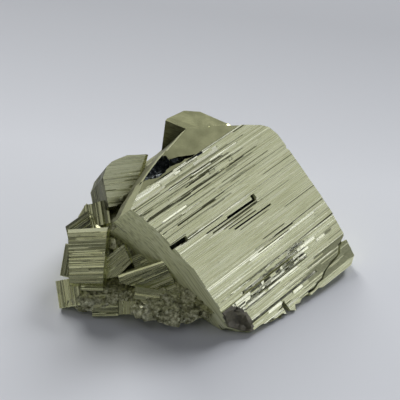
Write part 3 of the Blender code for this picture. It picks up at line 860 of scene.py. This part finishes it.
def pyrite_finish(name, stops, grain_mm, roughness, bump_mm, metallic=1.0):
    """Metallic pyrite whose tone, gloss and fine relief follow one stretched pattern."""
    material = bpy.data.materials.new(name)
    material.use_nodes = True
    surface = material.node_tree.nodes["Principled BSDF"]
    spot = add_node(material, "ShaderNodeAttribute", {"attribute_name": OWN_PLACE})
    stretched = add_node(material, "ShaderNodeMapping", inputs={
        "Vector": spot.outputs["Vector"], "Scale": [1 / size for size in grain_mm],
    })
    pattern = add_node(material, "ShaderNodeTexNoise", inputs={
        "Vector": stretched.outputs["Vector"], "Scale": 1.0, "Detail": 3.0, "Roughness": 0.6,
    })
    gloss = add_node(material, "ShaderNodeMapRange", inputs={
        "Value": pattern.outputs["Fac"], "From Min": 0.3, "From Max": 0.7,
        "To Min": roughness[0], "To Max": roughness[1],
    })
    relief = add_node(material, "ShaderNodeBump", inputs={
        "Height": pattern.outputs["Fac"], "Strength": 1.0, "Distance": bump_mm * MM,
    })
    links = material.node_tree.links
    links.new(shaded_ramp(material, pattern.outputs["Fac"], stops), surface.inputs["Base Color"])
    links.new(gloss.outputs["Result"], surface.inputs["Roughness"])
    links.new(relief.outputs["Normal"], surface.inputs["Normal"])
    surface.inputs["Metallic"].default_value = metallic
    return material


def striated_finishes(name, tones, roughness=(0.2, 0.34)):
    """Striated faces: fine lines, 0.22 mm wide and 14 mm long, run along, across or up the
    crystal, by face. The finest real ones are narrower, and are drawn this wide to show."""
    sizes = {
        "along": (14.0, 0.22, 0.22),
        "across": (0.22, 14.0, 0.22),
        "upright": (0.22, 0.22, 14.0),
    }
    return [
        pyrite_finish(name + " " + run, tones, grain_mm, roughness, bump_mm=0.012)
        for run, grain_mm in sizes.items()
    ]


def bright_finishes():
    """Clean striated faces: pale brass metal that shows as soft bright streaks."""
    tones = ((0.25, "#b0b080"), (0.5, "#dddfad"), (0.75, "#f8f8d4"))
    return striated_finishes("striated pyrite", tones)


def dull_finishes():
    """Weathered striated faces: the same metal, greyer and darker."""
    tones = ((0.25, "#85856a"), (0.5, "#b2b48c"), (0.75, "#d0d0aa"))
    return striated_finishes("weathered pyrite", tones)


def rear_finishes():
    """Faces at the back and underneath: etched, so darker and much less glossy."""
    tones = ((0.25, "#56563f"), (0.5, "#84846a"), (0.75, "#a2a282"))
    return striated_finishes("etched pyrite", tones, roughness=(0.55, 0.7))


def lit_side_finish():
    """The large crystal's left side: painted light, paler metal that stands in for the light its
    side doesn't get, rougher and less metallic so that it scatters light.
    """
    tones = ((0.3, "#bcbe8c"), (0.5, "#eef0c0"), (0.7, "#fdfedc"))
    return pyrite_finish("pale_lit pyrite", tones, grain_mm=(0.5, 14.0, 0.5),
                         roughness=(0.34, 0.5), bump_mm=0.015, metallic=0.15)


def groove_shade_finish():
    """Painted shade for the grooves between striae and for the shaded sides of some smaller
    crystals: the same metal, darkened.
    """
    tones = ((0.3, "#4a4a38"), (0.7, "#7c7c60"))
    return pyrite_finish("dark grooves", tones, grain_mm=(3.0, 0.3, 0.3),
                         roughness=(0.3, 0.45), bump_mm=0.01)


def highlight_finish():
    """Painted highlight on striae that lean down towards the low window light: the palest and
    glossiest metal, which also makes the small bright chips.
    """
    tones = ((0.3, "#d2d2a6"), (0.7, "#f6f6d6"))
    return pyrite_finish("highlighted pyrite", tones, grain_mm=(3.0, 0.22, 0.22),
                         roughness=(0.15, 0.28), bump_mm=0.01)


def dust_and_shade_finish():
    """Fine pyrite dust on what lies level: pale olive, a painted matt shade where the metal would
    mirror the lamps as glints.
    """
    tones = ((0.3, "#94966e"), (0.7, "#c0c296"))
    return pyrite_finish("pyrite dust", tones, grain_mm=(0.4, 0.4, 0.4),
                         roughness=(0.5, 0.7), bump_mm=0.02, metallic=0.0)


def smooth_finish():
    """The smooth shoulder: clean metal with a soft gloss."""
    tones = ((0.3, "#cbcb97"), (0.7, "#dadaa6"))
    return pyrite_finish("smooth pyrite", tones, grain_mm=(4.0, 4.0, 4.0),
                         roughness=(0.16, 0.22), bump_mm=0.01)


def granular_finish():
    """The granular base: duller, darker and mottled, with small glints."""
    tones = ((0.3, "#66664e"), (0.5, "#b4b490"), (0.7, "#f4f4d8"))
    return pyrite_finish("granular pyrite", tones, grain_mm=(0.9, 0.9, 0.9),
                         roughness=(0.3, 0.55), bump_mm=0.06, metallic=0.65)


def break_finish():
    """Fresh breaks: grey, rough and shell-shaped."""
    tones = ((0.3, "#6a675a"), (0.7, "#8b8774"))
    return pyrite_finish("broken pyrite", tones, grain_mm=(1.2, 1.2, 1.2),
                         roughness=(0.35, 0.5), bump_mm=0.05)


def pit_shade_finish():
    """Painted black shade for the pit and the floors of deep slots: black and glossy, with hardly
    any light coming back out of it.
    """
    tones = ((0.3, "#1b1e20"), (0.7, "#3a3e3c"))
    return pyrite_finish("black_shaded pyrite", tones, grain_mm=(0.8, 0.8, 0.8),
                         roughness=(0.2, 0.35), bump_mm=0.05)


def paint_crystal(piece, finishes):
    """Gives each face the striations of its direction."""
    piece.data.materials.clear()
    for finish in finishes:
        piece.data.materials.append(finish)
    for face in piece.data.polygons:
        facing = [abs(part) for part in face.normal]
        face.material_index = STRIATED_BY_AXIS[facing.index(max(facing))]


def in_ball(spot, ball, reach):
    """True for what lies in a rough ball or near it."""
    parts = zip(spot, ball.centre, ball.radii)
    return sum(((place - middle) / radius) ** 2 for place, middle, radius in parts) < reach


def in_pit(spot):
    """True for what lies well under the shoulder, past the striae's end."""
    edge = PIT_FLOOR[0][1] + (spot.x - PIT_FLOOR[0][0]) * PIT_EDGE_SLOPE
    shoulder = LEFT_PROFILE[-1][1] + SHOULDER_SLOPE * (BEYOND_SHOULDER - spot.y)
    sunk = PIT_LOWEST < spot.z < shoulder - PIT_SUNK
    if not sunk or not PIT_ALONG[0] < spot.x < PIT_ALONG[1]:
        return False
    return spot.y > edge - PIT_BEFORE_EDGE or in_ball(spot, PIT_END, PIT_END_REACH)


def dust_and_shade_on_ledges(piece, place, finish):
    """Faces that lie nearly level gather dust, a painted matt shade in place of the lamp glints."""
    piece.data.materials.append(finish)
    turned = place.to_3x3()
    for face in piece.data.polygons:
        level = LEDGE_LEVELS.get(face.material_index)
        if level and (turned @ face.normal).z > level:
            face.material_index = len(piece.data.materials) - 1


def large_crystal_finish(spot, normal, striated):
    """The finish of one part of the large crystal, which is striated unless another one is due."""
    deep = main_level(spot.x, spot.y) - spot.z > GROOVE_DEPTH
    at_rear = normal.x > REAR_FACING or normal.y > REAR_FACING or normal.z < 0
    if in_ball(spot, HOLLOW, HOLLOW_REACH):
        return BROKEN
    # The pit and the floors of deep slots get painted black shade.
    if normal.z > BLACK_UPRIGHT and (deep or in_pit(spot)):
        return BLACK_SHADE
    if spot.z < REAR_LEVEL and at_rear:
        return ETCHED + striated
    # The left side gets paler tones: painted light.
    if striated == ACROSS and normal.x < 0:
        return PALE_LIT_SIDE
    if striated != ALONG:
        return striated
    if spot.y > SHOULDER_START:
        return SHOULDER
    # Striae that lean down towards the window sill get the painted highlight.
    if HIGHLIGHT_LEANS[0] < normal.y < HIGHLIGHT_LEANS[1]:
        return PAINTED_HIGHLIGHT
    # Striated parts that don't face out get painted groove shade.
    return GROOVE_SHADE if normal.z < GROOVE_UPRIGHT else ALONG


def paint_large_crystal(piece, finishes):
    """The smooth shoulder, the broken hollow, the pit's painted black shade, the left side's painted
    light, the leaning striae's painted highlight and the grooves' painted shade.
    """
    paint_crystal(piece, finishes)
    for face in piece.data.polygons:
        face.material_index = large_crystal_finish(face.center, face.normal, face.material_index)


def table_finish():
    """Pale grey board, so matt that the specimen leaves no reflection in it."""
    material = bpy.data.materials.new("pale grey board")
    material.use_nodes = True
    surface = material.node_tree.nodes["Principled BSDF"]
    surface.inputs["Base Color"].default_value = colour("#d3d5d8")
    surface.inputs["Roughness"].default_value = 0.8
    surface.inputs["Specular IOR Level"].default_value = 0.0
    return material


def pale_table():
    """A wide pale table, just under the specimen, that rises gently towards its back."""
    rise = TABLE_SLOPE / (2 * TABLE_BEND)
    rows = [(-TABLE_REACH, 0.0), (TABLE_FLAT_TO, 0.0)]
    bend = range(TABLE_BEND_STEP, TABLE_BEND + 1, TABLE_BEND_STEP)
    rows += [(TABLE_FLAT_TO + run, rise * run * run) for run in bend]
    rows.append((TABLE_REACH, rows[-1][1] + TABLE_SLOPE * (TABLE_REACH - rows[-1][0])))
    ends = (-TABLE_REACH, TABLE_REACH)
    shape = relief_bar(ends, [(across, (height, height)) for across, height in rows], TABLE_THICK)
    turn = Matrix.Rotation(math.radians(TABLE_TURN), 4, "Z")
    shape.transform(Matrix.Scale(MM, 4) @ turn @ Matrix.Translation((0, 0, -TABLE_GAP)))
    made = as_object("table", shape)
    for face in made.data.polygons:
        face.use_smooth = True
    made.data.materials.append(table_finish())


def direction_to(azimuth, elevation):
    """A direction from the specimen, by its azimuth and elevation in degrees."""
    turn = math.radians(azimuth)
    lift = math.radians(elevation)
    return (math.sin(turn) * math.cos(lift), math.cos(turn) * math.cos(lift), math.sin(lift))


def softbox(light):
    """A large soft light that faces the specimen."""
    lamp = bpy.data.lights.new(light.name, "AREA")
    lamp.shape = "RECTANGLE"
    lamp.size = light.spread[0] * LIGHT_DISTANCE
    lamp.size_y = light.spread[1] * LIGHT_DISTANCE
    lamp.energy = light.radiance * math.pi * lamp.size * lamp.size_y
    lamp.color = colour(light.tint)[:3]
    made = bpy.data.objects.new(light.name, lamp)
    bpy.context.scene.collection.objects.link(made)
    direction = Vector(direction_to(light.azimuth, light.elevation)).normalized()
    made.location = direction * LIGHT_DISTANCE
    made.rotation_euler = direction.to_track_quat("Z", "Y").to_euler()


def studio():
    """Soft light from behind and the right, in a dim room."""
    for light in LIGHTS:
        softbox(light)
    world = bpy.data.worlds.new("room")
    bpy.context.scene.world = world
    world.use_nodes = True
    back = world.node_tree.nodes["Background"]
    back.inputs["Color"].default_value = colour(ROOM_TINT)
    back.inputs["Strength"].default_value = 1.0


def camera():
    """The camera at the photograph's viewing angle."""
    made = bpy.data.objects.new("camera", bpy.data.cameras.new("camera"))
    bpy.context.scene.collection.objects.link(made)
    made.data.lens = LENS
    made.data.clip_start = NEAREST_SEEN * MM
    tilt = math.radians(CAMERA_ELEVATION)
    back = Vector((0, -math.cos(tilt), math.sin(tilt)))
    made.location = (Vector(CAMERA_TARGET) + back * CAMERA_DISTANCE) * MM
    made.rotation_euler = back.to_track_quat("Z", "Y").to_euler()
    bpy.context.scene.camera = made


# The finishes that several crystals share.
Shared = namedtuple("Shared", "striated weathered etched groove dust smooth")


def finishes_for(crystal, shared):
    """A smaller crystal's finishes: for its main face, its left and right sides, and the
    sides above and below."""
    if FACE_PATCHES.get(crystal.name) is SMOOTH:
        # The smooth crystal's sides get painted groove shade.
        return [shared.smooth, shared.groove, shared.groove]
    if crystal.name in REAR:
        return shared.etched
    face, sides, rest = shared.weathered if crystal.name in WEATHERED else shared.striated
    # The listed shaded crystals get painted groove shade on their left and right sides.
    return [face, shared.groove if crystal.name in SHADE_SIDED else sides, rest]


def add_large_crystal(shared, dice):
    """Makes the large crystal, finishes it and puts it in the cluster."""
    piece = large_crystal(dice)
    place = frame_of(MAIN_PLACE, MAIN_TURN)
    cut_level(piece, place)
    paint_large_crystal(piece, [
        *shared.striated, shared.smooth, break_finish(), pit_shade_finish(), lit_side_finish(),
        shared.groove, highlight_finish(), *shared.etched,
    ])
    dust_and_shade_on_ledges(piece, place, shared.dust)
    put_in_cluster(piece, place)


def add_smaller_crystal(crystal, shared, dice):
    """Makes a smaller crystal, finishes it and puts it in the cluster."""
    piece = smaller_crystal(crystal, dice)
    place = frame_of(crystal.place, crystal.turn)
    cut_level(piece, place)
    paint_crystal(piece, finishes_for(crystal, shared))
    if FACE_PATCHES.get(crystal.name) is not SMOOTH:
        dust_and_shade_on_ledges(piece, place, shared.dust)
    put_in_cluster(piece, place)


def add_granular_base(dice):
    """Makes the granular base, finishes it and puts it in the cluster."""
    piece = granular_base(dice)
    place = Matrix.Identity(4)
    cut_level(piece, place)
    piece.data.materials.clear()
    piece.data.materials.append(granular_finish())
    put_in_cluster(piece, place)


def build():
    """The whole scene: the cluster, the table under it, the light and the camera."""
    dice = random.Random(SEED)
    shared = Shared(
        bright_finishes(), dull_finishes(), rear_finishes(), groove_shade_finish(), dust_and_shade_finish(),
        smooth_finish(),
    )
    add_large_crystal(shared, dice)
    for crystal in CRYSTALS:
        add_smaller_crystal(crystal, shared, dice)
    add_granular_base(dice)
    pale_table()
    studio()
    camera()


build()
bpy.context.scene.view_settings.view_transform = "Standard"
